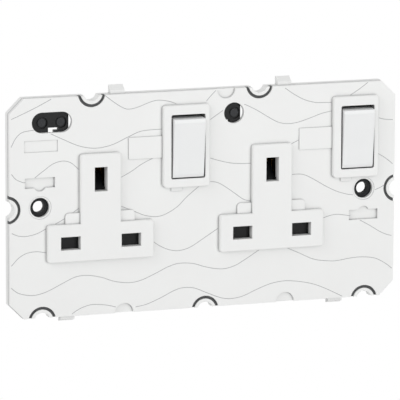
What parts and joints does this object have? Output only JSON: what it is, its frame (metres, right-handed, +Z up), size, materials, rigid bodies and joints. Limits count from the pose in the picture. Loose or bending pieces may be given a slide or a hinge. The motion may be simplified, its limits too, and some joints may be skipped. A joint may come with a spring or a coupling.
{
  "type": "uk twin socket",
  "caption": "Flush two-gang switched wall socket for flat-pin plugs, its bare white moulding with rocker switches, shutters, notched rim and an inner contact carrier.",
  "frame": {"origin": "middle of the line between the two fixing holes, on the wall plane at the back of the front moulding", "axes": "+X right and +Z up as seen from the room; +Y into the wall, so the face looks along -Y"},
  "size_m": [0.1436, 0.0296, 0.083],
  "materials": {
    "white_moulding": "satin",
    "white_rocker": "gloss",
    "dark_moulding": "matte",
    "dark_slider": "satin",
    "black_insert": "satin",
    "lamp_lens": "gloss",
    "contact_brass": "satin",
    "terminal_brass": "satin",
    "plunger_plastic": "satin",
    "spring_steel": "satin",
    "screw_steel": "satin"
  },
  "bodies": {
    "housing": {"front_plate": "white_moulding", "cover_clip_rings": "dark_moulding", "contact_carrier": "dark_moulding", "rear_cover": "dark_moulding", "twin_indicator_insert": "black_insert", "single_indicator_insert": "black_insert", "twin_indicator_lamps": "lamp_lens", "single_indicator_lamp": "lamp_lens", "line_bar": "contact_brass", "neutral_bar": "contact_brass", "earth_bar": "contact_brass", "left_line_contact": "contact_brass", "right_line_contact": "contact_brass", "line_terminal": "terminal_brass", "neutral_terminal": "terminal_brass", "left_earth_terminal": "terminal_brass", "right_earth_terminal": "terminal_brass", "terminal_screws": "screw_steel", "housing_screws": "screw_steel", "left_shutter_spring": "spring_steel", "right_shutter_spring": "spring_steel"},
    "left_switch": {"left_rocker": "white_rocker", "left_plunger_spring": "spring_steel"},
    "left_pusher": {"left_plunger": "plunger_plastic"},
    "left_seesaw": {"left_moving_contact": "contact_brass"},
    "left_slider": {"left_shutter": "dark_slider"},
    "right_switch": {"right_rocker": "white_rocker", "right_plunger_spring": "spring_steel"},
    "right_pusher": {"right_plunger": "plunger_plastic"},
    "right_seesaw": {"right_moving_contact": "contact_brass"},
    "right_slider": {"right_shutter": "dark_slider"}
  },
  "joints": [
    {"name": "left_rocker_tilt", "type": "hinge", "parent": "housing", "child": "left_switch", "pos_m": [-0.00647, -0.0012, 0.01912], "axis": [1, 0, 0], "range_deg": [-10.72, 0]},
    {"name": "left_plunger_slide", "type": "slide", "parent": "left_switch", "child": "left_pusher", "axis": [0, -0.9956, -0.0934], "range_m": [0, 0.0004], "stiffness_N_per_m": 600, "springref_m": -0.0005, "deforming": ["left_plunger_spring"]},
    {"name": "left_contact_rock", "type": "hinge", "parent": "housing", "child": "left_seesaw", "pos_m": [-0.00647, 0.0096, 0.01912], "axis": [1, 0, 0], "range_deg": [0, 16]},
    {"name": "left_shutter_slide", "type": "slide", "parent": "housing", "child": "left_slider", "axis": [0, 0, -1], "range_m": [0, 0.0053], "stiffness_N_per_m": 150, "springref_m": -0.002, "deforming": ["left_shutter_spring"]},
    {"name": "right_rocker_tilt", "type": "hinge", "parent": "housing", "child": "right_switch", "pos_m": [0.05713, -0.0012, 0.01912], "axis": [1, 0, 0], "range_deg": [-10.72, 0]},
    {"name": "right_plunger_slide", "type": "slide", "parent": "right_switch", "child": "right_pusher", "axis": [0, -0.9956, -0.0934], "range_m": [0, 0.0004], "stiffness_N_per_m": 600, "springref_m": -0.0005, "deforming": ["right_plunger_spring"]},
    {"name": "right_contact_rock", "type": "hinge", "parent": "housing", "child": "right_seesaw", "pos_m": [0.05713, 0.0096, 0.01912], "axis": [1, 0, 0], "range_deg": [0, 16]},
    {"name": "right_shutter_slide", "type": "slide", "parent": "housing", "child": "right_slider", "axis": [0, 0, -1], "range_m": [0, 0.0053], "stiffness_N_per_m": 150, "springref_m": -0.002, "deforming": ["right_shutter_spring"]}
  ],
  "couplings": [
    {"joint": "left_contact_rock", "follows": "left_rocker_tilt", "ratio": -1.4925},
    {"joint": "right_contact_rock", "follows": "right_rocker_tilt", "ratio": -1.4925}
  ]
}
